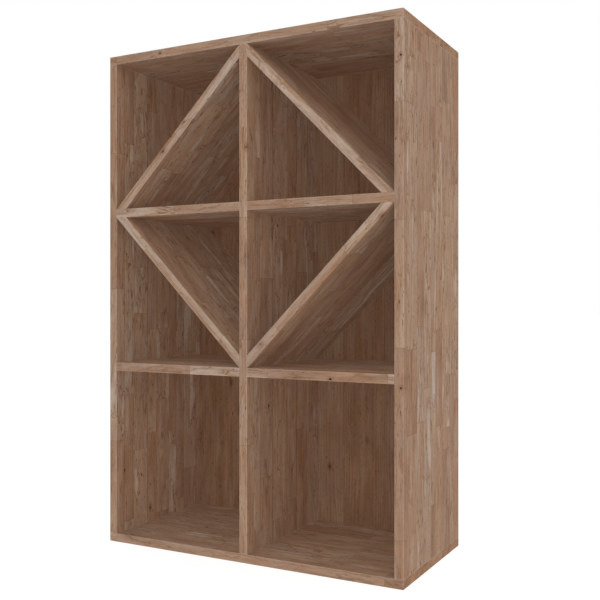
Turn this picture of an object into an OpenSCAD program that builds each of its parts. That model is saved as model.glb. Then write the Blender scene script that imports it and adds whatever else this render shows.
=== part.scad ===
// Wine rack module in solid wood: four square cells, each split by a 45 degree board, above two open bins.
// The diagonal boards form a diamond around the centre divider, and bottles lie in the triangles.
// Every board is cut to size and held by glued wooden dowels that can't be seen from outside.
// Origin: centre of the footprint, on the floor. +X is right seen from the front, the front faces -Y, +Z is up.

/* [Overall size] */
// Height of the rack
rack_h = 1050; // [950:5:1200]
// Width of the rack, across the top and bottom panels
rack_w = 680; // [600:5:760]
// Depth of the rack, from the front edges to the back panel's outer face
rack_d = 320; // [280:5:360]

/* [Boards] */
// Thickness of the panels, shelves, divider and diagonals
board_t = 18; // [16:1:22]
// Radius of the eased edges along the boards
edge_r = 1; // [0.5:0.25:2]

/* [Back panel] */
// Thickness of the back panel, which is also the depth of its rebate
back_t = 8; // [6:1:10]
// Width of the rebate that the back panel's edge laps onto
back_lap = 9; // [8:0.5:10]
// Gap between the edge of the back panel and the rebate
back_gap = 0.5; // [0.25:0.25:1]

/* [Dowels] */
// Diameter of the dowels in the frame and the shelves
dowel_d = 8; // [6:1:8]
// Length of the dowels that join an end to a face
dowel_len = 35; // [30:1:40]
// Length of the dowels that run from shelf to shelf through the divider
through_len = 60; // [50:5:70]
// Depth that a dowel goes into the face of a board
dowel_face_depth = 11; // [8:0.5:12]
// Number of dowels along each joint
dowel_rows = 4; // [2:1:5]
// Diameter of the small dowels in the diagonals
pin_d = 6; // [5:1:6]
// Length of the small dowels between a diagonal and a shelf
pin_len = 25; // [20:1:26]
// Length of the small dowels from diagonal to diagonal through the divider
pin_through_len = 40; // [34:1:40]
// Radial room around a dowel for the glue
glue_room = 0.05; // [0.02:0.01:0.1]
// Room left at the bottom of a dowel's hole
end_room = 0.75; // [0.5:0.25:1]

/* [Back screws] */
// Diameter of the countersunk screws' shanks
screw_d = 3.5; // [3:0.5:4]
// Length of the screws, head included
screw_len = 25; // [20:1:30]
// Diameter of the countersunk heads
screw_head_d = 7; // [6:0.5:8]
// Number of screws in each upright column
screw_column_count = 7; // [4:1:9]
// Number of screws in the rows along the top and the bottom
screw_row_count = 4; // [2:1:6]

/* [Hidden] */
$fn = 48;

// Colours of the parts
panel_colour = "#a58468";
shelf_colour = "#a98a6e";
diagonal_colour = "#ae8d70";
back_colour = "#93694d";
dowel_colour = "#d8bd94";
screw_colour = "#b9b7b0";

// Planes of the carcase
front_y = -rack_d / 2;
back_y = rack_d / 2 - back_t;               // the back panel's front face
inner_d = back_y - front_y;                 // depth of the divider, shelves and diagonals
inner_y = (front_y + back_y) / 2;
side_h = rack_h - 2 * board_t;
cell_w = (rack_w - 3 * board_t) / 2;        // clear width and height of a square cell
cell_in = board_t / 2;                      // face of the divider
cell_out = cell_in + cell_w;                // inner face of a side panel
side_x = cell_out + board_t / 2;            // middle of a side panel
top_z = rack_h - board_t;                   // underside of the top panel
upper_shelf_z = top_z - cell_w - board_t;   // underside of the upper shelves
lower_shelf_z = upper_shelf_z - cell_w - board_t;
back_w = 2 * (cell_out + back_lap - back_gap);
back_h = side_h + 2 * (back_lap - back_gap);

// Rows of dowels, front to back. The diagonals' rows fall between those of the shelves.
first_row = front_y + 40;
last_row = back_y - 45;
function row(t) = first_row + t * (last_row - first_row);
function spread(low, high, n) = [for (i = [0:n - 1]) low + i * (high - low) / (n - 1)];
joint_rows = [for (t = spread(0, 1, dowel_rows)) row(t)];
row_step = 1 / (dowel_rows - 1);
upper_pin_rows = [for (i = [0:dowel_rows - 2]) row((i + 0.5) * row_step)];
lower_pin_rows = [for (i = [0:dowel_rows - 2]) row((i + 0.25) * row_step)];

// A diagonal's end is cut at 45 degrees, so its foot is longer than the board is thick.
foot = board_t * sqrt(2);
pin_inset = 0.75 * foot;                    // from the sharp corner to the small dowel
pin_x = cell_out - pin_inset;
pin_up = 12;                                // length of it that stands in the diagonal
pin_down = pin_len - pin_up;
dowel_chamfer = 1;                          // at both ends of every dowel

screw_end = 30;                             // from the inner corner to an upright column's first screw
side_screw_x = cell_out + back_lap / 2;
end_screw_z = back_lap / 2 + side_h / 2;    // from mid height to the rows along the top and bottom
cell_mid = (cell_in + cell_out) / 2;
screw_head_h = (screw_head_d - screw_d) / 2; // 90 degree countersink
screw_tip = screw_d;
screw_room = 0.05;                          // radial room around a screw
recess_w = 0.9;                             // slots of the cross recess
recess_span = 3.6;
recess_depth = 1.6;

// Points on the back panel, as [x, z]
screw_points = concat(
    [for (x = [-side_screw_x, 0, side_screw_x], z = spread(board_t + screw_end, top_z - screw_end,
        screw_column_count)) [x, z]],
    [for (x = spread(-cell_mid - cell_w / 4, cell_mid + cell_w / 4, screw_row_count), s = [-1, 1])
        [x, rack_h / 2 + s * end_screw_z]],
    [for (x = [-cell_mid, cell_mid], z = [lower_shelf_z, upper_shelf_z]) [x, z + board_t / 2]]
);

// Rectangle with its corners eased, centred
module eased_section(w, h) {
    square([w - 2 * edge_r, h], center = true);
    square([w, h - 2 * edge_r], center = true);
    for (x = [-1, 1], y = [-1, 1])
        translate([x * (w / 2 - edge_r), y * (h / 2 - edge_r)])
            circle(r = edge_r);
}

// Board standing on end, its length along Z from 0
module upright_board(thickness, depth, length) {
    linear_extrude(length)
        eased_section(thickness, depth);
}

// Board lying flat, its length along X, centred on the origin
module level_board(length, depth, thickness) {
    rotate([90, 0, 90])
        translate([0, 0, -length / 2])
            linear_extrude(length)
                eased_section(depth, thickness);
}

// Panel whose four ends and edges all show, so every edge is eased
module outer_panel() {
    intersection() {
        level_board(rack_w, rack_d, board_t);
        rotate([0, 0, 90])
            level_board(rack_d, rack_w, board_t);
        translate([0, 0, -board_t / 2])
            linear_extrude(board_t)
                eased_section(rack_w, rack_d);
    }
}

// Wooden dowel along Z, with chamfered ends: up into one board, down into the other
module dowel(d, up, down) {
    translate([0, 0, -down + dowel_chamfer])
        cylinder(h = up + down - 2 * dowel_chamfer, d = d);
    translate([0, 0, -down])
        cylinder(h = dowel_chamfer, d1 = d - 2 * dowel_chamfer, d2 = d);
    translate([0, 0, up - dowel_chamfer])
        cylinder(h = dowel_chamfer, d1 = d, d2 = d - 2 * dowel_chamfer);
}

// Hole that the dowel above is glued into, spanning both boards
module dowel_bore(d, up, down) {
    translate([0, 0, -down - end_room])
        cylinder(h = up + down + 2 * end_room, d = d + 2 * glue_room);
}

// Places of the joints. Children are drawn along Z, centred on the plane where the boards meet.
module at_top_joints() {
    for (x = [-side_x, 0, side_x], y = joint_rows)
        translate([x, y, top_z])
            children();
}

module at_bottom_joints() {
    for (x = [-side_x, 0, side_x], y = joint_rows)
        translate([x, y, board_t])
            rotate([180, 0, 0])
                children();
}

// Shelf ends at a side panel: side is -1 for left and 1 for right, and +Z of the child points outwards
module at_side_joints(side) {
    for (z = [lower_shelf_z, upper_shelf_z], y = joint_rows)
        translate([side * cell_out, y, z + board_t / 2])
            rotate([0, side * 90, 0])
                children();
}

module at_divider_joints() {
    for (z = [lower_shelf_z, upper_shelf_z], y = joint_rows)
        translate([0, y, z + board_t / 2])
            rotate([0, 90, 0])
                children();
}

// Feet of the upper diagonals, on the upper shelves
module at_upper_feet() {
    for (side = [-1, 1], y = upper_pin_rows)
        translate([side * pin_x, y, upper_shelf_z + board_t])
            children();
}

// Heads of the lower diagonals, under the upper shelves
module at_lower_heads() {
    for (side = [-1, 1], y = lower_pin_rows)
        translate([side * pin_x, y, upper_shelf_z])
            rotate([180, 0, 0])
                children();
}

// Points of the diamond, where two diagonals meet on the divider
module at_diamond_points() {
    for (z = [top_z - pin_inset, lower_shelf_z + board_t + pin_inset], y = upper_pin_rows)
        translate([0, y, z])
            rotate([0, 90, 0])
                children();
}

module at_back_screws() {
    for (p = screw_points)
        translate([p[0], rack_d / 2, p[1]])
            rotate([90, 0, 0])
                children();
}

// Dowels and their holes, for each kind of joint
module end_dowel() dowel(dowel_d, dowel_face_depth, dowel_len - dowel_face_depth);
module end_bore() dowel_bore(dowel_d, dowel_face_depth, dowel_len - dowel_face_depth);
module through_dowel() dowel(dowel_d, through_len / 2, through_len / 2);
module through_bore() dowel_bore(dowel_d, through_len / 2, through_len / 2);
module foot_dowel() dowel(pin_d, pin_up, pin_down);
module foot_bore() dowel_bore(pin_d, pin_up, pin_down);
module point_dowel() dowel(pin_d, pin_through_len / 2, pin_through_len / 2);
module point_bore() dowel_bore(pin_d, pin_through_len / 2, pin_through_len / 2);

// Countersunk screw along Z, its head flush with Z = 0 and a cross recess in it
module back_screw() {
    difference() {
        rotate_extrude()
            polygon([
                [0, 0], [screw_head_d / 2, 0], [screw_d / 2, screw_head_h],
                [screw_d / 2, screw_len - screw_tip], [0, screw_len]
            ]);
        for (a = [0, 90])
            rotate([0, 0, a])
                translate([-recess_span / 2, -recess_w / 2, -1])
                    cube([recess_span, recess_w, recess_depth + 1]);
    }
}

// Hole for the screw above, with its countersink
module screw_bore() {
    bore_r = screw_d / 2 + screw_room;
    mouth_r = screw_head_d / 2 + screw_room;
    rotate_extrude()
        polygon([
            [0, -1], [mouth_r, -1], [mouth_r, 0], [bore_r, screw_head_h],
            [bore_r, screw_len + end_room], [0, screw_len + end_room]
        ]);
}

// Rebate for the back panel, cut into the frame from behind
module back_rebate() {
    translate([-cell_out - back_lap, back_y, board_t - back_lap])
        cube([2 * (cell_out + back_lap), back_t + 1, side_h + 2 * back_lap]);
}

module top_panel() {
    color(panel_colour)
        difference() {
            translate([0, 0, top_z + board_t / 2])
                outer_panel();
            back_rebate();
            at_top_joints() end_bore();
            at_back_screws() screw_bore();
        }
}

module bottom_panel() {
    color(panel_colour)
        difference() {
            translate([0, 0, board_t / 2])
                outer_panel();
            back_rebate();
            at_bottom_joints() end_bore();
            at_back_screws() screw_bore();
        }
}

module side_panel(side) {
    difference() {
        translate([side * side_x, 0, board_t])
            upright_board(board_t, rack_d, side_h);
        back_rebate();
        at_top_joints() end_bore();
        at_bottom_joints() end_bore();
        at_side_joints(side) end_bore();
        at_back_screws() screw_bore();
    }
}

module left_side_panel() {
    color(panel_colour)
        side_panel(-1);
}

module right_side_panel() {
    color(panel_colour)
        side_panel(1);
}

module centre_divider() {
    color(panel_colour)
        difference() {
            translate([0, inner_y, board_t])
                upright_board(board_t, inner_d, side_h);
            at_top_joints() end_bore();
            at_bottom_joints() end_bore();
            at_divider_joints() through_bore();
            at_diamond_points() point_bore();
            at_back_screws() screw_bore();
        }
}

// Shelf on one side of the divider, with its underside at z
module shelf(side, z) {
    difference() {
        translate([side * cell_mid, inner_y, z + board_t / 2])
            level_board(cell_w, inner_d, board_t);
        at_side_joints(side) end_bore();
        at_divider_joints() through_bore();
        at_upper_feet() foot_bore();
        at_lower_heads() foot_bore();
        at_back_screws() screw_bore();
    }
}

module upper_left_shelf() {
    color(shelf_colour)
        shelf(-1, upper_shelf_z);
}

module upper_right_shelf() {
    color(shelf_colour)
        shelf(1, upper_shelf_z);
}

module lower_left_shelf() {
    color(shelf_colour)
        shelf(-1, lower_shelf_z);
}

module lower_right_shelf() {
    color(shelf_colour)
        shelf(1, lower_shelf_z);
}

// Diagonal of the cell that starts at height z. Its outer face runs from corner to corner of the cell,
// and the cell trims both ends. rise is 1 where it climbs towards the divider, -1 where it falls.
module diagonal(side, z, rise) {
    difference() {
        intersection() {
            translate([side * cell_mid, inner_y, z + cell_w / 2])
                rotate([0, side * rise * 45, 0])
                    translate([0, 0, -rise * board_t / 2])
                        level_board(2 * cell_w, inner_d, board_t);
            translate([side > 0 ? cell_in : -cell_out, front_y, z])
                cube([cell_w, inner_d, cell_w]);
        }
        at_upper_feet() foot_bore();
        at_lower_heads() foot_bore();
        at_diamond_points() point_bore();
    }
}

module upper_left_diagonal() {
    color(diagonal_colour)
        diagonal(-1, upper_shelf_z + board_t, 1);
}

module upper_right_diagonal() {
    color(diagonal_colour)
        diagonal(1, upper_shelf_z + board_t, 1);
}

module lower_left_diagonal() {
    color(diagonal_colour)
        diagonal(-1, lower_shelf_z + board_t, -1);
}

module lower_right_diagonal() {
    color(diagonal_colour)
        diagonal(1, lower_shelf_z + board_t, -1);
}

module back_panel() {
    color(back_colour)
        difference() {
            translate([-back_w / 2, back_y, (rack_h - back_h) / 2])
                cube([back_w, back_t, back_h]);
            at_back_screws() screw_bore();
        }
}

module top_panel_dowels() {
    color(dowel_colour)
        at_top_joints() end_dowel();
}

module bottom_panel_dowels() {
    color(dowel_colour)
        at_bottom_joints() end_dowel();
}

module left_side_dowels() {
    color(dowel_colour)
        at_side_joints(-1) end_dowel();
}

module right_side_dowels() {
    color(dowel_colour)
        at_side_joints(1) end_dowel();
}

module divider_dowels() {
    color(dowel_colour)
        at_divider_joints() through_dowel();
}

module upper_diagonal_dowels() {
    color(dowel_colour)
        at_upper_feet() foot_dowel();
}

module lower_diagonal_dowels() {
    color(dowel_colour)
        at_lower_heads() foot_dowel();
}

module diamond_point_dowels() {
    color(dowel_colour)
        at_diamond_points() point_dowel();
}

module back_panel_screws() {
    color(screw_colour)
        at_back_screws() back_screw();
}

top_panel();
bottom_panel();
left_side_panel();
right_side_panel();
centre_divider();
upper_left_shelf();
upper_right_shelf();
lower_left_shelf();
lower_right_shelf();
upper_left_diagonal();
upper_right_diagonal();
lower_left_diagonal();
lower_right_diagonal();
back_panel();
top_panel_dowels();
bottom_panel_dowels();
left_side_dowels();
right_side_dowels();
divider_dowels();
upper_diagonal_dowels();
lower_diagonal_dowels();
diamond_point_dowels();
back_panel_screws();
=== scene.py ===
import math
import bpy
from mathutils import Matrix, Vector


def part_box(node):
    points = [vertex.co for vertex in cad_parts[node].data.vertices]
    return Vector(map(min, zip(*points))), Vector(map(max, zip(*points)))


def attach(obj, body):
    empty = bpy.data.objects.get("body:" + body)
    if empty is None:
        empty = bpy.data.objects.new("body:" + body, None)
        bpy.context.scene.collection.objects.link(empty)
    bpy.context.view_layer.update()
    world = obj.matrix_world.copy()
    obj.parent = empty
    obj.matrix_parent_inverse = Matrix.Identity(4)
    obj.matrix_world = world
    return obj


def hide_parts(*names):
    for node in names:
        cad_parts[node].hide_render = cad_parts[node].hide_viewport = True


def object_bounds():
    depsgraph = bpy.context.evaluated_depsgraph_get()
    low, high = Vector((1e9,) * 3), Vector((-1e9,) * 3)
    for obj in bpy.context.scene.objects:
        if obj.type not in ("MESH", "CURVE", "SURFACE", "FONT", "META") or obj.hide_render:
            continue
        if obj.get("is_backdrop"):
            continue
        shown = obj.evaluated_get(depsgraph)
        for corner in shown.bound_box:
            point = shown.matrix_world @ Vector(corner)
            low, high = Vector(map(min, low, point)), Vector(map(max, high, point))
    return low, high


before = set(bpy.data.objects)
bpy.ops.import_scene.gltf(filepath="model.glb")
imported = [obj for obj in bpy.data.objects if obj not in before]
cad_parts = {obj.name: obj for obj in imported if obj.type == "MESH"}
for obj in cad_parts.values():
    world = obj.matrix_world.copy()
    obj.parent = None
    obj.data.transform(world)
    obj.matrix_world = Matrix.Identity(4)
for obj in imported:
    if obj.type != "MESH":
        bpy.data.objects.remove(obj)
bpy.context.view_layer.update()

millimetre = 0.001


def linear(hexText):  # an sRGB hex value as the linear colour that shaders use
    parts = [int(hexText[i:i + 2], 16) / 255 for i in (1, 3, 5)]
    return tuple(c / 12.92 if c <= 0.04045 else ((c + 0.055) / 1.055) ** 2.4 for c in parts) + (1.0,)


# inputs holds a link or a value for each socket, and stops the positions and shades of a colour ramp
def addNode(tree, kind, inputs=None, stops=None, **settings):
    node = tree.nodes.new(kind if kind.startswith("Node") else "ShaderNode" + kind)
    for name, value in settings.items():
        setattr(node, name, value)
    for key, value in (inputs or {}).items():
        if isinstance(value, bpy.types.Node):
            value = next(socket for socket in value.outputs if socket.enabled)
        if isinstance(value, bpy.types.NodeSocket):
            tree.links.new(value, node.inputs[key])
        else:
            node.inputs[key].default_value = value
    while stops and len(node.color_ramp.elements) < len(stops):
        node.color_ramp.elements.new(0.5)
    for i, (position, shade) in enumerate(stops or []):
        element = node.color_ramp.elements[i]
        element.position = position
        element.color = linear(shade) if isinstance(shade, str) else (shade, shade, shade, 1.0)
    return node


def newGroup(name, inputs, outputs):
    group = bpy.data.node_groups.new(name, "ShaderNodeTree")
    for label, kind, value in inputs:
        socket = group.interface.new_socket(label, in_out="INPUT", socket_type="NodeSocket" + kind)
        if value is not None:
            socket.default_value = value
    for label, kind in outputs:
        group.interface.new_socket(label, in_out="OUTPUT", socket_type="NodeSocket" + kind)
    return group


def newMaterial(name):
    material = bpy.data.materials.new(name)
    material.use_nodes = True
    material.node_tree.nodes.clear()
    return material, material.node_tree


def setMaterial(piece, material):
    piece.data.materials.clear()
    piece.data.materials.append(material)


# Solid oak, planed, edge-glued from staves and finished with matt oil. The eye sees strips that differ a
# little in tone and in hue, end joints at uneven heights, and grain that runs on round the arrises.
oak = {
    "staveWidth": 37.5,    # mm, one glued strip
    "widthSpread": 40.0,   # mm, how far the seams wander from even spacing
    "widthRun": 60.0,      # mm, over which they wander
    "staveLength": 250.0,  # mm, average length between end joints
    "ringSpacing": 6.5,    # mm, real rings are 2 to 4 mm apart: drawn wider, or they don't show at this size
    "heartDistance": (18.0, 80.0),  # mm, from a stave to the heart of its tree, nearest and farthest
    "lean": 0.1,           # how steeply a tree leans along its stave, either way
    "wander": 18.0,        # mm, how far a long slow bend moves the rings
    "ripple": 5.0,         # mm, and a short one
    "swirl": 40.0,         # mm, and the grain that curls round pale sapwood
    "knotSpacing": (80.0, 80.0, 130.0),  # mm, of the stray pin knots
    "noises": {            # mm across the grain, mm along it, and detail
        "wander": (40.0, 230.0, 2.0),
        "ripple": (11.0, 26.0, 2.0),
        "drift": (20.0, 110.0, 1.0),
        "hue": (13.0, 75.0, 1.0),
        "sap": (20.0, 120.0, 2.0),
        "cloud": (30.0, 60.0, 2.0),
        "streak": (3.2, 13.0, 1.0),
        "fibre": (3.0, 40.0, 2.0),   # real fibres are far finer: drawn coarser
        "pore": (1.1, 9.0, 1.0),     # real pores are 0.3 mm wide: drawn coarser
    },
    "tones": [(0.0, "#a0806a"), (0.3, "#b2917c"), (0.55, "#ba9d89"), (0.8, "#c1a896"), (1.0, "#cbb6a8")],
    "greyTint": "#f0f3f3",
    "warmTint": "#faf2e3",
    "sapwood": "#ddd4ca",
    "ringShade": "#dccdbf",
    "fibreShade": "#f7f2ed",
    "poreShade": "#d8cabd",
    "glueShade": "#d6c6b8",
    "fringeShade": "#cdb7a5",
    "streakShade": "#8a6c58",
    "knotShade": "#5a3a28",
    "haloShade": "#bd9a80",
    "endGrainShade": "#fbf0e4",
    "knotHeartShade": "#4c3122",
    # the pale shade of the arrises: rubbed wear, and also a painted highlight along the edges
    "rubbedAndHighlightShade": "#dfd5ca",
    "rubbedAndHighlight": 0.16,        # share of that shade on the arrises: paler wear and a painted highlight
    "poreDepth": 0.35,     # mm
}


def makeOakGrain():
    g = newGroup("edgeGluedOak", [
        ("Grain", "Vector", None),  # mm: X across the staves, Y through the board, Z along the grain
        ("Seed", "Float", 0.0),
        ("Stave Width", "Float", oak["staveWidth"]),
        ("Stave Length", "Float", oak["staveLength"]),
        ("Ring Spacing", "Float", oak["ringSpacing"]),
        ("Flat Sawn", "Float", 1.0),  # 0 gives straight lines all over
        ("Contrast", "Float", 1.0),
        ("Pale Bands", "Float", 1.0),
        ("Shade", "Color", (1.0, 1.0, 1.0, 1.0)),
    ], [("Color", "Color"), ("Height", "Float"), ("Roughness", "Float")])
    start = addNode(g, "NodeGroupInput").outputs
    axes = addNode(g, "SeparateXYZ", {0: start["Grain"]}).outputs

    # Rows of staves side by side, of uneven width, and every row shifted along by its own amount
    widthPlace = addNode(g, "Math", {0: axes["X"], 1: 1 / oak["widthRun"], 2: start["Seed"]},
                         operation="MULTIPLY_ADD")
    widths = addNode(g, "TexNoise", {"W": widthPlace, "Scale": 1.0, "Detail": 0.0}, noise_dimensions="1D")
    uneven = addNode(g, "Math", {0: widths.outputs[0], 1: oak["widthSpread"], 2: axes["X"]},
                     operation="MULTIPLY_ADD")
    column = addNode(g, "Math", {0: uneven, 1: start["Stave Width"]}, operation="DIVIDE")
    row = addNode(g, "Math", {0: column}, operation="FLOOR")
    rowPart = addNode(g, "Math", {0: column}, operation="FRACT")
    rowKey = addNode(g, "CombineXYZ", {0: row, 1: start["Seed"]})
    rowShift = addNode(g, "TexWhiteNoise", {"Vector": rowKey}, noise_dimensions="2D")
    lengths = addNode(g, "Math", {0: axes["Z"], 1: start["Stave Length"]}, operation="DIVIDE")
    along = addNode(g, "Math", {0: rowShift, 1: 13.0, 2: lengths}, operation="MULTIPLY_ADD")
    cell = addNode(g, "Math", {0: along}, operation="FLOOR")
    cellPart = addNode(g, "Math", {0: along}, operation="FRACT")
    cellKey = addNode(g, "CombineXYZ", {0: row, 1: cell, 2: start["Seed"]})
    cellLuck = addNode(g, "TexWhiteNoise", {"Vector": cellKey}, noise_dimensions="3D")
    joint = addNode(g, "MapRange", {"Value": cellLuck, "To Min": 0.08, "To Max": 0.92})
    pastJoint = addNode(g, "Math", {0: cellPart, 1: joint}, operation="GREATER_THAN")
    stave = addNode(g, "Math", {0: cell, 1: pastJoint}, operation="ADD")
    staveSeed = addNode(g, "Math", {0: start["Seed"], 1: 31.7}, operation="ADD")
    staveKey = addNode(g, "CombineXYZ", {0: row, 1: stave, 2: staveSeed})
    luck = addNode(g, "TexWhiteNoise", {"Vector": staveKey}, noise_dimensions="3D")
    lucks = addNode(g, "SeparateColor", {0: luck.outputs["Color"]}).outputs

    # Every stave is cut from its own place in a log
    logPlace = addNode(g, "VectorMath", {0: luck.outputs["Color"], 1: (700.0, 500.0, 900.0)},
                       operation="MULTIPLY")
    place = addNode(g, "VectorMath", {0: start["Grain"], 1: logPlace}, operation="ADD")
    noises = {}
    for name, (across, lengthwise, detail) in oak["noises"].items():
        stretched = addNode(g, "VectorMath", {0: place, 1: (1 / across, 1 / across, 1 / lengthwise)},
                            operation="MULTIPLY")
        noise = addNode(g, "TexNoise", {"Vector": stretched, "Scale": 1.0, "Detail": detail})
        noises[name] = noise.outputs[0]

    # The heart of the tree lies at its own angle and distance from each stave and leans along it
    halfTurn = addNode(g, "Math", {0: lucks[0], 1: math.pi}, operation="MULTIPLY")
    angle = addNode(g, "Math", {0: halfTurn, 1: start["Flat Sawn"]}, operation="MULTIPLY")
    nearest, farthest = oak["heartDistance"]
    distance = addNode(g, "MapRange", {"Value": lucks[1], "To Min": nearest, "To Max": farthest})
    lean = addNode(g, "MapRange", {"Value": lucks[2], "To Min": -oak["lean"], "To Max": oak["lean"]})
    leanEven = addNode(g, "Math", {0: lean, 1: start["Flat Sawn"]}, operation="MULTIPLY")
    heart = addNode(g, "Math", {0: leanEven, 1: axes["Z"], 2: distance}, operation="MULTIPLY_ADD")
    cosine = addNode(g, "Math", {0: angle}, operation="COSINE")
    sine = addNode(g, "Math", {0: angle}, operation="SINE")
    heartX = addNode(g, "Math", {0: distance, 1: cosine}, operation="MULTIPLY")
    heartY = addNode(g, "Math", {0: heart, 1: sine}, operation="MULTIPLY")
    middle = addNode(g, "Math", {0: rowPart, 1: 0.5}, operation="SUBTRACT")
    inRow = addNode(g, "Math", {0: middle, 1: start["Stave Width"]}, operation="MULTIPLY")
    sideways = addNode(g, "Math", {0: inRow, 1: heartX}, operation="SUBTRACT")
    depth = addNode(g, "Math", {0: axes["Y"], 1: heartY}, operation="SUBTRACT")
    fromHeart = addNode(g, "CombineXYZ", {0: sideways, 1: depth})
    radius = addNode(g, "VectorMath", {0: fromHeart}, operation="LENGTH").outputs["Value"]
    bent = addNode(g, "Math", {0: noises["wander"], 1: oak["wander"], 2: radius}, operation="MULTIPLY_ADD")
    rippling = addNode(g, "Math", {0: start["Flat Sawn"], 1: oak["ripple"]}, operation="MULTIPLY")
    wavy = addNode(g, "Math", {0: noises["ripple"], 1: rippling, 2: bent}, operation="MULTIPLY_ADD")
    # Some staves have pale sapwood with curled grain round it, and most are plain
    curly = addNode(g, "MapRange", {"Value": lucks[0], "From Min": 0.35, "From Max": 0.85, "To Min": 0.25})
    figured = addNode(g, "Math", {0: curly, 1: start["Pale Bands"]}, operation="MULTIPLY")
    swirl = addNode(g, "MapRange", {"Value": noises["sap"], "From Min": 0.48, "From Max": 0.78,
                                    "To Max": oak["swirl"]})
    swirled = addNode(g, "Math", {0: swirl, 1: figured, 2: wavy}, operation="MULTIPLY_ADD")
    turns = addNode(g, "Math", {0: swirled, 1: start["Ring Spacing"]}, operation="DIVIDE")
    ringPart = addNode(g, "Math", {0: turns}, operation="FRACT")
    # The first wood of every year is a band of open pores, and the rest is dense and smooth
    ring = addNode(g, "ValToRGB", {0: ringPart},
                   stops=[(0.0, 0.75), (0.1, 1.0), (0.4, 0.25), (0.8, 0.0), (1.0, 0.75)])
    ringForce = addNode(g, "MapRange", {"Value": noises["cloud"], "From Min": 0.35, "From Max": 0.65,
                                        "To Min": 0.08, "To Max": 0.6})
    ringDark = addNode(g, "Math", {0: ring, 1: ringForce}, operation="MULTIPLY")

    # Tone and hue, which change from stave to stave and drift along each
    tone = addNode(g, "MapRange", {"Value": noises["drift"], "From Min": 0.3, "From Max": 0.7,
                                   "To Min": -0.22, "To Max": 0.22})
    staveTone = addNode(g, "MapRange", {"Value": luck.outputs["Value"], "To Min": 0.24, "To Max": 0.76})
    tones = addNode(g, "Math", {0: tone, 1: staveTone}, operation="ADD")
    base = addNode(g, "ValToRGB", {0: tones}, stops=oak["tones"])
    hueShift = addNode(g, "Math", {0: lucks[1], 1: 0.25, 2: noises["hue"]}, operation="MULTIPLY_ADD")
    hueSide = addNode(g, "MapRange", {"Value": hueShift, "From Min": 0.37, "From Max": 0.87})
    tint = addNode(g, "Mix", {0: hueSide, 6: linear(oak["greyTint"]), 7: linear(oak["warmTint"])},
                   data_type="RGBA")
    tinted = addNode(g, "Mix", {0: 1.0, 6: base, 7: tint}, data_type="RGBA", blend_type="MULTIPLY")
    sapEdge = addNode(g, "Math", {0: ring, 1: 0.05, 2: noises["sap"]}, operation="MULTIPLY_ADD")
    fringe = addNode(g, "ValToRGB", {0: sapEdge}, stops=[(0.5, 0.0), (0.57, 0.9), (0.65, 0.0)])
    sap = addNode(g, "MapRange", {"Value": sapEdge, "From Min": 0.57, "From Max": 0.7, "To Max": 0.23})
    sapShare = addNode(g, "Math", {0: sap, 1: figured}, operation="MULTIPLY")
    curls = addNode(g, "Math", {0: ring, 1: 1.3, 2: 0.2}, operation="MULTIPLY_ADD")
    curled = addNode(g, "Math", {0: fringe, 1: curls}, operation="MULTIPLY")
    fringeShare = addNode(g, "Math", {0: curled, 1: figured}, operation="MULTIPLY")
    colour = addNode(g, "Mix", {0: sapShare, 6: tinted, 7: linear(oak["sapwood"])}, data_type="RGBA")

    # Pores are thickest in the first wood
    poreOpen = addNode(g, "MapRange", {"Value": noises["pore"], "From Min": 0.56, "From Max": 0.68})
    poreForce = addNode(g, "MapRange", {"Value": ring, "To Min": 0.45, "To Max": 1.0})
    pores = addNode(g, "Math", {0: poreOpen, 1: poreForce}, operation="MULTIPLY")
    fibre = addNode(g, "MapRange", {"Value": noises["fibre"], "From Min": 0.35, "From Max": 0.7})
    streak = addNode(g, "MapRange", {"Value": noises["streak"], "From Min": 0.725, "From Max": 0.78,
                                     "To Max": 0.9})

    # Glue lines round each stave, by the distance in mm to its nearest edge or end
    fromMiddle = addNode(g, "Math", {0: middle}, operation="ABSOLUTE")
    fromEdge = addNode(g, "Math", {0: 0.5, 1: fromMiddle}, operation="SUBTRACT")
    edgeGap = addNode(g, "Math", {0: fromEdge, 1: start["Stave Width"]}, operation="MULTIPLY")
    toJoint = addNode(g, "Math", {0: cellPart, 1: joint}, operation="SUBTRACT")
    nearJoint = addNode(g, "Math", {0: toJoint}, operation="ABSOLUTE")
    endGap = addNode(g, "Math", {0: nearJoint, 1: start["Stave Length"]}, operation="MULTIPLY")
    gap = addNode(g, "Math", {0: edgeGap, 1: endGap}, operation="MINIMUM")
    glue = addNode(g, "MapRange", {"Value": gap, "From Min": 0.1, "From Max": 0.5,
                                   "To Min": 1.0, "To Max": 0.0})

    # Pin knots here and there
    cells = addNode(g, "VectorMath", {0: place, 1: [1 / spacing for spacing in oak["knotSpacing"]]},
                    operation="MULTIPLY")
    knotGap = addNode(g, "TexVoronoi", {"Vector": cells, "Scale": 1.0}, voronoi_dimensions="3D")
    knot = addNode(g, "MapRange", {"Value": knotGap, "From Min": 0.012, "From Max": 0.03,
                                   "To Min": 1.0, "To Max": 0.0})
    halo = addNode(g, "MapRange", {"Value": knotGap, "From Min": 0.02, "From Max": 0.1,
                                   "To Min": 0.7, "To Max": 0.0})

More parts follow.
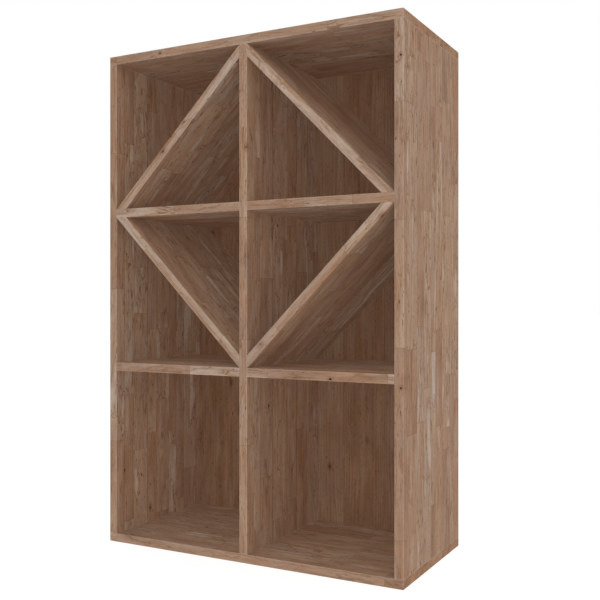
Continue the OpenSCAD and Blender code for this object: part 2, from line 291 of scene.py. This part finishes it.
    # Each mark darkens the wood by its own shade, and open pores, glue lines and knots lie a little low
    marks = {
        "ringShade": ringDark, "fringeShade": fringeShare, "fibreShade": fibre, "poreShade": pores,
        "streakShade": streak, "haloShade": halo, "glueShade": glue, "knotShade": knot,
    }
    for shade, amount in marks.items():
        share = addNode(g, "Math", {0: amount, 1: start["Contrast"]}, operation="MULTIPLY")
        colour = addNode(g, "Mix", {0: share, 6: colour, 7: linear(oak[shade])}, data_type="RGBA",
                         blend_type="MULTIPLY")
    # Shade multiplies the whole board's colour; on the back panel it is painted shade
    colour = addNode(g, "Mix", {0: 1.0, 6: colour, 7: start["Shade"]}, data_type="RGBA",
                     blend_type="MULTIPLY")
    height = addNode(g, "Math", {0: ringDark, 1: -0.3}, operation="MULTIPLY")
    for amount, sink in ((pores, -0.6), (glue, -0.4), (knot, -0.8)):
        height = addNode(g, "Math", {0: amount, 1: sink, 2: height}, operation="MULTIPLY_ADD")
    roughness = addNode(g, "MapRange", {"Value": height, "From Min": -1.2, "From Max": 0.0,
                                        "To Min": 0.75, "To Max": 0.55})
    addNode(g, "NodeGroupOutput", {"Color": colour, "Height": height, "Roughness": roughness})
    return g


oakGrain = makeOakGrain()


# A knot that is seen on a face: the dark spot, and the grain that swerves round it
def makePinKnot():
    g = newGroup("pinKnot", [("Grain", "Vector", None), ("Dark", "Float", 0.0), ("Centre", "Vector", None),
                             ("Radius", "Float", 2.0)],
                 [("Grain", "Vector"), ("Dark", "Float")])
    start = addNode(g, "NodeGroupInput").outputs
    away = addNode(g, "VectorMath", {0: start["Grain"], 1: start["Centre"]}, operation="SUBTRACT")
    size = addNode(g, "CombineXYZ", {0: start["Radius"], 1: start["Radius"], 2: start["Radius"]})
    steps = addNode(g, "VectorMath", {0: away, 1: size}, operation="DIVIDE")
    slim = addNode(g, "VectorMath", {0: steps, 1: (1.0, 1.0, 0.7)}, operation="MULTIPLY")
    reach = addNode(g, "VectorMath", {0: slim}, operation="LENGTH").outputs["Value"]
    spot = addNode(g, "MapRange", {"Value": reach, "From Min": 0.6, "From Max": 1.1,
                                   "To Min": 1.0, "To Max": 0.0})
    halo = addNode(g, "MapRange", {"Value": reach, "From Min": 0.8, "From Max": 3.2,
                                   "To Min": 0.28, "To Max": 0.0})
    dark = addNode(g, "Math", {0: spot, 1: halo}, operation="MAXIMUM")
    darkest = addNode(g, "Math", {0: dark, 1: start["Dark"]}, operation="MAXIMUM")
    swerve = addNode(g, "MapRange", {"Value": reach, "From Min": 0.0, "From Max": 6.0,
                                     "To Min": -0.8, "To Max": 0.0}, interpolation_type="SMOOTHSTEP")
    sides = addNode(g, "VectorMath", {0: away, 1: (1.0, 0.0, 0.0)}, operation="MULTIPLY")
    push = addNode(g, "VectorMath", {0: sides, "Scale": swerve}, operation="SCALE")
    moved = addNode(g, "VectorMath", {0: start["Grain"], 1: push}, operation="ADD")
    addNode(g, "NodeGroupOutput", {"Grain": moved, "Dark": darkest})
    return g


pinKnot = makePinKnot()


# Handling rubs the oil off the arrises, so they are a little paler, and the paler band also paints a
# highlight along every edge
def makeRubbedEdgeAndHighlight():
    g = newGroup("rubbedEdgeAndHighlight", [("Grain", "Vector", None), ("Half Size", "Vector", None)],
                 [("WearAndHighlight", "Float")])
    start = addNode(g, "NodeGroupInput").outputs
    mirrored = addNode(g, "VectorMath", {0: start["Grain"]}, operation="ABSOLUTE")
    inside = addNode(g, "VectorMath", {0: start["Half Size"], 1: mirrored}, operation="SUBTRACT")
    gaps = addNode(g, "SeparateXYZ", {0: inside}).outputs
    lower = addNode(g, "Math", {0: gaps[0], 1: gaps[1]}, operation="MINIMUM")
    upper = addNode(g, "Math", {0: gaps[0], 1: gaps[1]}, operation="MAXIMUM")
    other = addNode(g, "Math", {0: upper, 1: gaps[2]}, operation="MINIMUM")
    # A point is on an arris when it is close to two faces at once, so the second smallest gap counts
    second = addNode(g, "Math", {0: lower, 1: other}, operation="MAXIMUM")
    patchy = addNode(g, "TexNoise", {"Vector": start["Grain"], "Scale": 0.06, "Detail": 3.0}).outputs[0]
    reach = addNode(g, "MapRange", {"Value": patchy, "From Min": 0.3, "From Max": 0.7,
                                    "To Min": 0.8, "To Max": 3.0})
    share = addNode(g, "Math", {0: second, 1: reach}, operation="DIVIDE")
    wearAndHighlight = addNode(g, "MapRange", {"Value": share, "From Min": 0.0, "From Max": 1.0,
                                   "To Min": 1.0, "To Max": 0.0})
    addNode(g, "NodeGroupOutput", {"WearAndHighlight": wearAndHighlight})
    return g


rubbedEdgeAndHighlight = makeRubbedEdgeAndHighlight()


# across and along are the board's own directions, and low and high its corners in metres
def oakMaterial(name, across, along, seed, low, high, knots=(), halfSize=None, **grainSizes):
    material, tree = newMaterial(name)
    through = Vector(along).cross(Vector(across))
    turn = Matrix((across, through, along))
    middle = (low + high) / 2
    spot = addNode(tree, "TexCoord").outputs["Object"]
    grain = addNode(tree, "Mapping", {
        "Vector": spot, "Location": turn @ middle / -millimetre, "Rotation": turn.to_euler(),
        "Scale": (1 / millimetre,) * 3,
    }, vector_type="POINT").outputs[0]
    size = halfSize or [abs(v) for v in turn @ (high - low) / millimetre / 2]
    wearAndHighlight = addNode(tree, "Group", {"Grain": grain, "Half Size": size}, node_tree=rubbedEdgeAndHighlight)
    dark = 0.0
    for x, y, z, radius in knots:
        centre = turn @ (Vector((x, y, z)) - middle / millimetre)
        knot = addNode(tree, "Group", {"Grain": grain, "Dark": dark, "Centre": centre, "Radius": radius},
                       node_tree=pinKnot)
        grain, dark = knot.outputs["Grain"], knot.outputs["Dark"]
    sizes = {label.replace("_", " "): value for label, value in grainSizes.items()}
    wood = addNode(tree, "Group", {"Grain": grain, "Seed": seed, **sizes}, node_tree=oakGrain)
    normal = addNode(tree, "NewGeometry").outputs["Normal"]
    facing = addNode(tree, "VectorMath", {0: normal, 1: along}, operation="DOT_PRODUCT").outputs["Value"]
    ends = addNode(tree, "Math", {0: facing}, operation="ABSOLUTE")
    endGrain = addNode(tree, "MapRange", {"Value": ends, "From Min": 0.75, "From Max": 0.95})
    colour = wood.outputs["Color"]
    for share, shade in ((endGrain, "endGrainShade"), (dark, "knotHeartShade")):
        colour = addNode(tree, "Mix", {0: share, 6: colour, 7: linear(oak[shade])}, data_type="RGBA",
                         blend_type="MULTIPLY")
    # The arrises are mixed towards a pale shade: rubbed wear and a painted highlight along the edges
    rubbedAndHighlight = addNode(tree, "Math", {0: wearAndHighlight.outputs[0], 1: oak["rubbedAndHighlight"]}, operation="MULTIPLY")
    colour = addNode(tree, "Mix", {0: rubbedAndHighlight, 6: colour, 7: linear(oak["rubbedAndHighlightShade"])}, data_type="RGBA")
    bump = addNode(tree, "Bump", {"Height": wood.outputs["Height"], "Strength": 0.6,
                                  "Distance": oak["poreDepth"] * millimetre})
    shader = addNode(tree, "BsdfPrincipled", {
        "Base Color": colour, "Roughness": wood.outputs["Roughness"], "Normal": bump, "IOR": 1.5,
        "Specular IOR Level": 0.05,  # matt oil leaves hardly any shine
    })
    addNode(tree, "OutputMaterial", {"Surface": shader})
    return material


right, deep, up = (1.0, 0.0, 0.0), (0.0, 1.0, 0.0), (0.0, 0.0, 1.0)
half = math.sqrt(0.5)
rising, falling = (half, 0.0, half), (half, 0.0, -half)
# For each board: the way its grain runs, the number that picks its staves, and knots at x, y, z, radius in mm
boards = {
    "top_panel": (right, 1.0, [(-205.0, -160.0, 1041.0, 1.9)]),
    "bottom_panel": (right, 2.0, []),
    "left_side_panel": (up, 3.0, [(-322.0, -133.0, 150.0, 1.6), (-322.0, -74.0, 130.0, 1.6)]),
    "right_side_panel": (up, 4.0, [(335.0, -160.0, 965.0, 2.0), (335.0, -160.0, 364.0, 1.9)]),
    "centre_divider": (up, 15.0, [(9.0, -74.0, 304.0, 2.4), (9.0, -37.0, 680.0, 2.0)]),
    "upper_left_shelf": (right, 6.0, []),
    "upper_right_shelf": (right, 7.0, []),
    "lower_left_shelf": (right, 21.0, []),
    "lower_right_shelf": (right, 9.0, [(193.0, -160.0, 374.0, 2.4)]),
    "upper_left_diagonal": (rising, 10.0, []),
    "upper_right_diagonal": (falling, 11.0, []),
    "lower_left_diagonal": (falling, 12.0, []),
    "lower_right_diagonal": (rising, 13.0, []),
}
diagonalHalf = {"thickness": 9.0, "length": 400.0}  # mm, the length past its ends, which touch other boards
for node, (along, seed, knots) in boards.items():
    low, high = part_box(node)
    size = None
    if along in (rising, falling):  # a slanted board's own half size differs from its box's
        size = ((high.y - low.y) / millimetre / 2, diagonalHalf["thickness"], diagonalHalf["length"])
    setMaterial(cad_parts[node],
                oakMaterial(node + "_oiledOak", deep, along, seed, low, high, knots, size))
low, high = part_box("back_panel")
# Quarter-sawn oak veneer, slip-matched: broad leaves without end joints, and straight lines all over
# Its Shade darkens the whole veneer: painted shade, for the shade that falls on the back of the bins
setMaterial(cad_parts["back_panel"], oakMaterial(
    "backPanelOakVeneer", right, up, 20.0, low, high, Stave_Width=95.0, Stave_Length=4000.0, Ring_Spacing=8.0,
    Flat_Sawn=0.0, Contrast=1.1, Pale_Bands=0.2, Shade=linear("#e0dbd6")))
print("boards finished")

# Beech dowels, turned and then fluted. The flutes let air and spare glue out of the holes
dowels = {
    "flutes": 12,
    "sidesPerFlute": 5,    # three for the round land, two for the flute
    "fluteDepth": 0.35,    # mm
    "chamfer": 1.0,        # mm, at both ends
    "sets": {              # diameter in mm, the axis they lie along, and how many there are along x, y and z
        "top_panel_dowels": (8.0, 2, (3, 4, 1)),
        "bottom_panel_dowels": (8.0, 2, (3, 4, 1)),
        "left_side_dowels": (8.0, 0, (1, 4, 2)),
        "right_side_dowels": (8.0, 0, (1, 4, 2)),
        "divider_dowels": (8.0, 0, (1, 4, 2)),
        "upper_diagonal_dowels": (6.0, 2, (2, 3, 1)),
        "lower_diagonal_dowels": (6.0, 2, (2, 3, 1)),
        "diamond_point_dowels": (6.0, 0, (1, 3, 2)),
    },
    "tones": [(0.3, "#c19a76"), (0.5, "#cfab88"), (0.7, "#d9ba99")],
    "fleckShade": "#a67c58",
    "fleckWidth": 1.2,     # mm, across a ray fleck
    "fleckLength": 3.6,    # mm
    "grainWidth": 0.8,     # mm, real beech is finer: drawn coarser
    "grainLength": 14.0,   # mm
    "grainDepth": 0.1,     # mm
}


# Turned beech: pale pinkish brown lines along the dowel, with the short dark flecks of its rays
def beechMaterial(name, axis):
    material, tree = newMaterial(name)
    spot = addNode(tree, "TexCoord").outputs["Object"]
    places = {}
    for pattern in ("grain", "fleck"):
        sizes = [dowels[pattern + ("Length" if i == axis else "Width")] * millimetre for i in range(3)]
        places[pattern] = addNode(tree, "VectorMath", {0: spot, 1: [1 / size for size in sizes]},
                                  operation="MULTIPLY")
    grain = addNode(tree, "TexNoise", {"Vector": places["grain"], "Scale": 1.0, "Detail": 3.0})
    base = addNode(tree, "ValToRGB", {0: grain}, stops=dowels["tones"])
    flecks = addNode(tree, "TexVoronoi", {"Vector": places["fleck"], "Scale": 1.0})
    fleck = addNode(tree, "MapRange", {"Value": flecks, "From Min": 0.1, "From Max": 0.3,
                                       "To Min": 0.7, "To Max": 0.0})
    colour = addNode(tree, "Mix", {0: fleck, 6: base, 7: linear(dowels["fleckShade"])}, data_type="RGBA")
    roughness = addNode(tree, "MapRange", {"Value": grain, "To Min": 0.5, "To Max": 0.75})
    bump = addNode(tree, "Bump", {"Height": grain, "Strength": 0.4,
                                  "Distance": dowels["grainDepth"] * millimetre})
    shader = addNode(tree, "BsdfPrincipled", {"Base Color": colour, "Roughness": roughness, "Normal": bump,
                                              "IOR": 1.5, "Specular IOR Level": 0.3})
    addNode(tree, "OutputMaterial", {"Surface": shader})
    return material


def pick(piece, kind, wanted):  # selects the vertices or faces that are wanted, in edit mode
    bpy.ops.mesh.select_mode(type=kind)
    bpy.ops.mesh.select_all(action="DESELECT")
    bpy.ops.object.mode_set(mode="OBJECT")
    for part in piece.data.vertices if kind == "VERT" else piece.data.polygons:
        part.select = wanted(part)
    bpy.ops.object.mode_set(mode="EDIT")


def modelDowel(radius, length):
    chamfer = dowels["chamfer"] * millimetre
    sides = dowels["flutes"] * dowels["sidesPerFlute"]
    bpy.ops.object.select_all(action="DESELECT")
    bpy.ops.mesh.primitive_cylinder_add(vertices=sides, radius=radius, depth=length - 2 * chamfer)
    dowel = bpy.context.object
    bpy.ops.object.mode_set(mode="EDIT")
    narrowing = 1 - chamfer / radius
    for end in (-1, 1):
        pick(dowel, "FACE", lambda face: face.normal.z * end > 0.9)
        bpy.ops.mesh.extrude_region_move(TRANSFORM_OT_translate={"value": (0.0, 0.0, end * chamfer)})
        bpy.ops.transform.resize(value=(narrowing, narrowing, 1.0), center_override=(0.0, 0.0, 0.0))
    # The flutes run out on the chamfers, so the two end rings stay round
    step = math.tau / sides
    pick(dowel, "VERT", lambda vertex: abs(vertex.co.z) < length / 2 - chamfer / 2 and
         round(math.atan2(vertex.co.y, vertex.co.x) / step) % dowels["sidesPerFlute"] < 2)
    sunk = 1 - dowels["fluteDepth"] * millimetre / radius
    bpy.ops.transform.resize(value=(sunk, sunk, 1.0), center_override=(0.0, 0.0, 0.0))
    bpy.ops.object.mode_set(mode="OBJECT")
    bpy.ops.object.shade_smooth_by_angle(angle=math.radians(25.0))


# Copies the model that was just made to every place, and joins the copies into one piece
def spread(places, turn):
    copies = [bpy.context.object]
    for place in places[1:]:
        bpy.ops.object.duplicate()
        copies.append(bpy.context.object)
    for copy, place in zip(copies, places):
        copy.location = place
        copy.rotation_euler = turn
        copy.select_set(True)
    bpy.ops.object.join()
    bpy.ops.object.transform_apply(location=True, rotation=True, scale=True)
    return bpy.context.object


def gridPlaces(first, last, counts):  # evenly spaced from corner to corner, and halfway where there is one
    places = []
    for step in [(x, y, z) for x in range(counts[0]) for y in range(counts[1]) for z in range(counts[2])]:
        parts = [i / (count - 1) if count > 1 else 0.5 for i, count in zip(step, counts)]
        places.append([a + (b - a) * part for a, b, part in zip(first, last, parts)])
    return places


beech = {2: beechMaterial("turnedBeechUpright", 2), 0: beechMaterial("turnedBeechLevel", 0)}
for node, (diameter, axis, counts) in dowels["sets"].items():
    low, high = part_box(node)
    radius = diameter / 2 * millimetre
    modelDowel(radius, high[axis] - low[axis])
    inset = Vector([0.0 if i == axis else radius for i in range(3)])
    turn = (0.0, math.pi / 2 if axis == 0 else 0.0, 0.0)
    piece = spread(gridPlaces(low + inset, high - inset, counts), turn)
    piece.name = node.replace("_dowels", "_fluted_dowels")
    setMaterial(piece, beech[axis])
    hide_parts(node)
    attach(piece, "root")
print("dowels finished")

# Countersunk chipboard screws: a cold-formed head with a pressed cross recess,
# a rolled thread and a cut point
screws = {
    "outline": [           # depth below the head's flat and radius, mm
        (0.0, 3.25), (0.15, 3.35), (2.2, 1.3), (2.6, 1.2), (21.5, 1.2), (22.5, 0.95), (25.0, 0.06),
    ],
    "sides": 24,
    "threadFrom": 3.2,     # mm below the head's flat
    "threadTurns": 12,
    "threadPitch": 1.6,    # mm
    "threadRadius": 1.72,  # mm
    "threadSize": 0.52,    # mm, from the middle of its three-sided outline to a corner
    "stepsPerTurn": 16,
    "recess": (3.8, 0.9, 1.9),  # mm, span and width of the cross at the head's flat, and depth
    "recessTaper": 0.45,   # share of the span that is left at the bottom
    "tones": [(0.3, "#8d9196"), (0.5, "#a7abb0"), (0.7, "#c0c3c6")],
    "cloudSize": 1.5,      # mm
    "gritSize": 0.25,      # mm
    "gritDepth": 0.02,     # mm
}


def combine(piece, tool, operation):  # joins or cuts one closed shape with another, and removes the tool
    bpy.ops.object.select_all(action="DESELECT")
    bpy.context.view_layer.objects.active = piece
    piece.select_set(True)
    modifier = piece.modifiers.new(operation.lower(), "BOOLEAN")
    modifier.operation = operation
    modifier.solver = "EXACT"
    modifier.object = tool
    bpy.ops.object.modifier_apply(modifier=modifier.name)
    bpy.data.objects.remove(tool)


def modelCore():  # stands on its point, with the flat of its head at the origin
    outline = [(depth * millimetre, radius * millimetre) for depth, radius in screws["outline"]]
    rim = outline[1][0]
    bpy.ops.object.select_all(action="DESELECT")
    bpy.ops.mesh.primitive_cylinder_add(vertices=screws["sides"], radius=outline[0][1], depth=rim,
                                        location=(0.0, 0.0, -rim / 2))
    bpy.ops.object.transform_apply(location=True)
    core = bpy.context.object
    bpy.ops.object.mode_set(mode="EDIT")
    pick(core, "FACE", lambda face: face.normal.z < -0.9)
    for (depth, radius), (nextDepth, nextRadius) in zip(outline, outline[1:]):
        if depth > 0.0:  # the rim is there already
            bpy.ops.mesh.extrude_region_move(TRANSFORM_OT_translate={"value": (0.0, 0.0, depth - nextDepth)})
        share = nextRadius / radius
        bpy.ops.transform.resize(value=(share, share, 1.0), center_override=(0.0, 0.0, 0.0))
    bpy.ops.object.mode_set(mode="OBJECT")
    return core


def cutRecess(core):  # two tapered wings, one across the other
    span, width, deep = [size * millimetre for size in screws["recess"]]
    taper = screws["recessTaper"]
    for wing in ((span, width), (width, span)):
        bpy.ops.object.select_all(action="DESELECT")
        bpy.ops.mesh.primitive_cube_add(size=1.0, location=(0.0, 0.0, 0.0))
        cutter = bpy.context.object
        bpy.ops.object.mode_set(mode="EDIT")
        bpy.ops.transform.resize(value=(wing[0], wing[1], 2 * deep), center_override=(0.0, 0.0, 0.0))
        for end, share in ((-1, taper), (1, 2 - taper)):
            pick(cutter, "FACE", lambda face: face.normal.z * end > 0.5)
            bpy.ops.transform.resize(value=(share, share, 1.0), center_override=(0.0, 0.0, 0.0))
        bpy.ops.object.mode_set(mode="OBJECT")
        combine(core, cutter, "DIFFERENCE")


def windThread(core):  # a three-sided outline, which the Screw modifier winds round the core
    crest, corner, top = [screws[key] * millimetre for key in ("threadRadius", "threadSize", "threadFrom")]
    bpy.ops.object.select_all(action="DESELECT")
    bpy.ops.mesh.primitive_circle_add(vertices=3, radius=corner, location=(crest - corner, 0.0, -top),
                                      rotation=(-math.pi / 2, -math.pi / 2, 0.0))
    bpy.ops.object.transform_apply(location=True, rotation=True)
    thread = bpy.context.object
    winding = thread.modifiers.new("winding", "SCREW")
    winding.axis = "Z"
    winding.screw_offset = -screws["threadPitch"] * millimetre
    winding.iterations = screws["threadTurns"]
    winding.steps = winding.render_steps = screws["stepsPerTurn"]
    bpy.ops.object.modifier_apply(modifier="winding")
    bpy.ops.object.mode_set(mode="EDIT")
    bpy.ops.mesh.select_all(action="SELECT")
    bpy.ops.mesh.fill_holes(sides=3)
    bpy.ops.mesh.normals_make_consistent(inside=False)
    bpy.ops.object.mode_set(mode="OBJECT")
    combine(core, thread, "UNION")


def screwPlaces():  # the middle of each CAD screw's head
    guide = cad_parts["back_panel_screws"].copy()
    guide.data = guide.data.copy()
    bpy.context.scene.collection.objects.link(guide)
    bpy.ops.object.select_all(action="DESELECT")
    bpy.context.view_layer.objects.active = guide
    guide.select_set(True)
    bpy.ops.object.mode_set(mode="EDIT")
    bpy.ops.mesh.select_all(action="SELECT")
    bpy.ops.mesh.remove_doubles(threshold=0.01 * millimetre)
    bpy.ops.mesh.separate(type="LOOSE")
    bpy.ops.object.mode_set(mode="OBJECT")
    places = []
    for part in bpy.context.selected_objects:
        xs, ys, zs = zip(*[vertex.co for vertex in part.data.vertices])
        places.append(((min(xs) + max(xs)) / 2, max(ys), (min(zs) + max(zs)) / 2))
    bpy.ops.object.delete()
    return sorted(places)


# Steel, cold-formed and zinc-plated: a cool soft shine, cloudy from the plating bath
def zincMaterial():
    material, tree = newMaterial("zincPlatedSteel")
    spot = addNode(tree, "TexCoord").outputs["Object"]
    inMillimetres = addNode(tree, "VectorMath", {0: spot, "Scale": 1 / millimetre}, operation="SCALE")
    cloud = addNode(tree, "TexNoise", {"Vector": inMillimetres, "Scale": 1 / screws["cloudSize"],
                                       "Detail": 3.0})
    grit = addNode(tree, "TexNoise", {"Vector": inMillimetres, "Scale": 1 / screws["gritSize"],
                                      "Detail": 1.0})
    colour = addNode(tree, "ValToRGB", {0: cloud}, stops=screws["tones"])
    roughness = addNode(tree, "MapRange", {"Value": cloud, "From Min": 0.3, "From Max": 0.7,
                                           "To Min": 0.28, "To Max": 0.5})
    bump = addNode(tree, "Bump", {"Height": grit, "Strength": 0.3,
                                  "Distance": screws["gritDepth"] * millimetre})
    shader = addNode(tree, "BsdfPrincipled", {"Base Color": colour, "Metallic": 1.0, "Roughness": roughness,
                                              "Normal": bump})
    addNode(tree, "OutputMaterial", {"Surface": shader})
    return material


places = screwPlaces()
screw = modelCore()
cutRecess(screw)
windThread(screw)
bpy.ops.object.shade_smooth_by_angle(angle=math.radians(28.0))
piece = spread(places, (-math.pi / 2, 0.0, 0.0))
piece.name = "back_panel_threaded_screws"
setMaterial(piece, zincMaterial())
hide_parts("back_panel_screws")
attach(piece, "root")
print("screws finished")

# A plain pale floor that sends no light back to the rack
floorSettings = {
    "size": 60.0,     # metres
    "below": 0.0005,  # metres, from the rack to the floor
    "shade": "#b9b9b8",
    "glow": 0.72,
}
low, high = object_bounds()
bpy.ops.object.select_all(action="DESELECT")
bpy.ops.mesh.primitive_plane_add(size=floorSettings["size"],
                                 location=(0.0, 0.0, low.z - floorSettings["below"]))
floor = bpy.context.object
floor.name = "floor"
floor.visible_diffuse = False
floor.visible_glossy = False
material, tree = newMaterial("paintedFloor")
shader = addNode(tree, "BsdfPrincipled", {
    "Base Color": linear(floorSettings["shade"]), "Roughness": 0.9, "Specular IOR Level": 0.0,
    "Emission Color": (1.0, 1.0, 1.0, 1.0), "Emission Strength": floorSettings["glow"]})
addNode(tree, "OutputMaterial", {"Surface": shader})
setMaterial(floor, material)
floor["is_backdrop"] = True

# Soft studio light: a pale room, a soft box overhead and two broad fills that throw no shadow
studio = {
    "lightColour": (0.97, 0.98, 0.99),
    "roomOnTheLeft": (0.97, 1.043, 1.138, 1.0),    # daylight
    "roomOnTheRight": (1.106, 1.056, 1.025, 1.0),  # a little warmer
    "roomSeen": (1.0, 1.0, 1.0, 1.0),              # plain white behind the rack
    "roomStrength": 0.63,
    "target": (0.0, 0.0, 0.5),
    "softBoxes": {                                 # place, size in metres, watts, casts a shadow
        "overheadSoftBox": ((0.8, -2.8, 2.8), 2.0, 6.0, True),
        "upperFill": ((2.98, -3.6, 5.3), 3.0, 92.0, False),
        "lowerFill": ((2.98, -3.6, -4.3), 3.0, 92.0, False),
    },
}
world = bpy.data.worlds.new("studio")
world.use_nodes = True
world.node_tree.nodes.clear()
tree = world.node_tree
seen = addNode(tree, "LightPath").outputs["Is Camera Ray"]
strength = addNode(tree, "MapRange", {"Value": seen, "To Min": studio["roomStrength"], "To Max": 1.0})
way = addNode(tree, "SeparateXYZ", {0: addNode(tree, "TexCoord").outputs["Object"]}).outputs["X"]
towardsRight = addNode(tree, "MapRange", {"Value": way, "From Min": -1.0, "From Max": 1.0})
room = addNode(tree, "Mix", {0: towardsRight, 6: studio["roomOnTheLeft"], 7: studio["roomOnTheRight"]},
               data_type="RGBA")
colour = addNode(tree, "Mix", {0: seen, 6: room, 7: studio["roomSeen"]}, data_type="RGBA")
sky = addNode(tree, "Background", {"Color": colour, "Strength": strength})
addNode(tree, "OutputWorld", {"Surface": sky})
bpy.context.scene.world = world

for name, (place, size, power, shadow) in studio["softBoxes"].items():
    light = bpy.data.lights.new(name, "AREA")
    light.shape = "SQUARE"
    light.size = size
    light.energy = power
    light.color = studio["lightColour"]
    light.use_shadow = shadow
    lamp = bpy.data.objects.new(name, light)
    bpy.context.scene.collection.objects.link(lamp)
    lamp.location = place
    lamp.rotation_euler = (Vector(studio["target"]) - Vector(place)).to_track_quat("-Z", "Y").to_euler()

# Level, and to the right of the front
cameraSettings = {
    "place": (0.90625, -1.61166, 0.5229),  # metres
    "turn": 28.18,                         # degrees from straight on
    "lens": 51.56,                         # mm
    "sensor": 36.0,                        # mm
}
camera = bpy.data.objects.new("camera", bpy.data.cameras.new("camera"))
bpy.context.scene.collection.objects.link(camera)
camera.location = cameraSettings["place"]
camera.rotation_euler = (math.radians(90.0), 0.0, math.radians(cameraSettings["turn"]))
camera.data.lens = cameraSettings["lens"]
camera.data.sensor_width = cameraSettings["sensor"]
bpy.context.scene.camera = camera
bpy.context.scene.view_settings.view_transform = "Standard"
bpy.context.scene.view_settings.look = "None"

low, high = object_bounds()
print("scene ready")
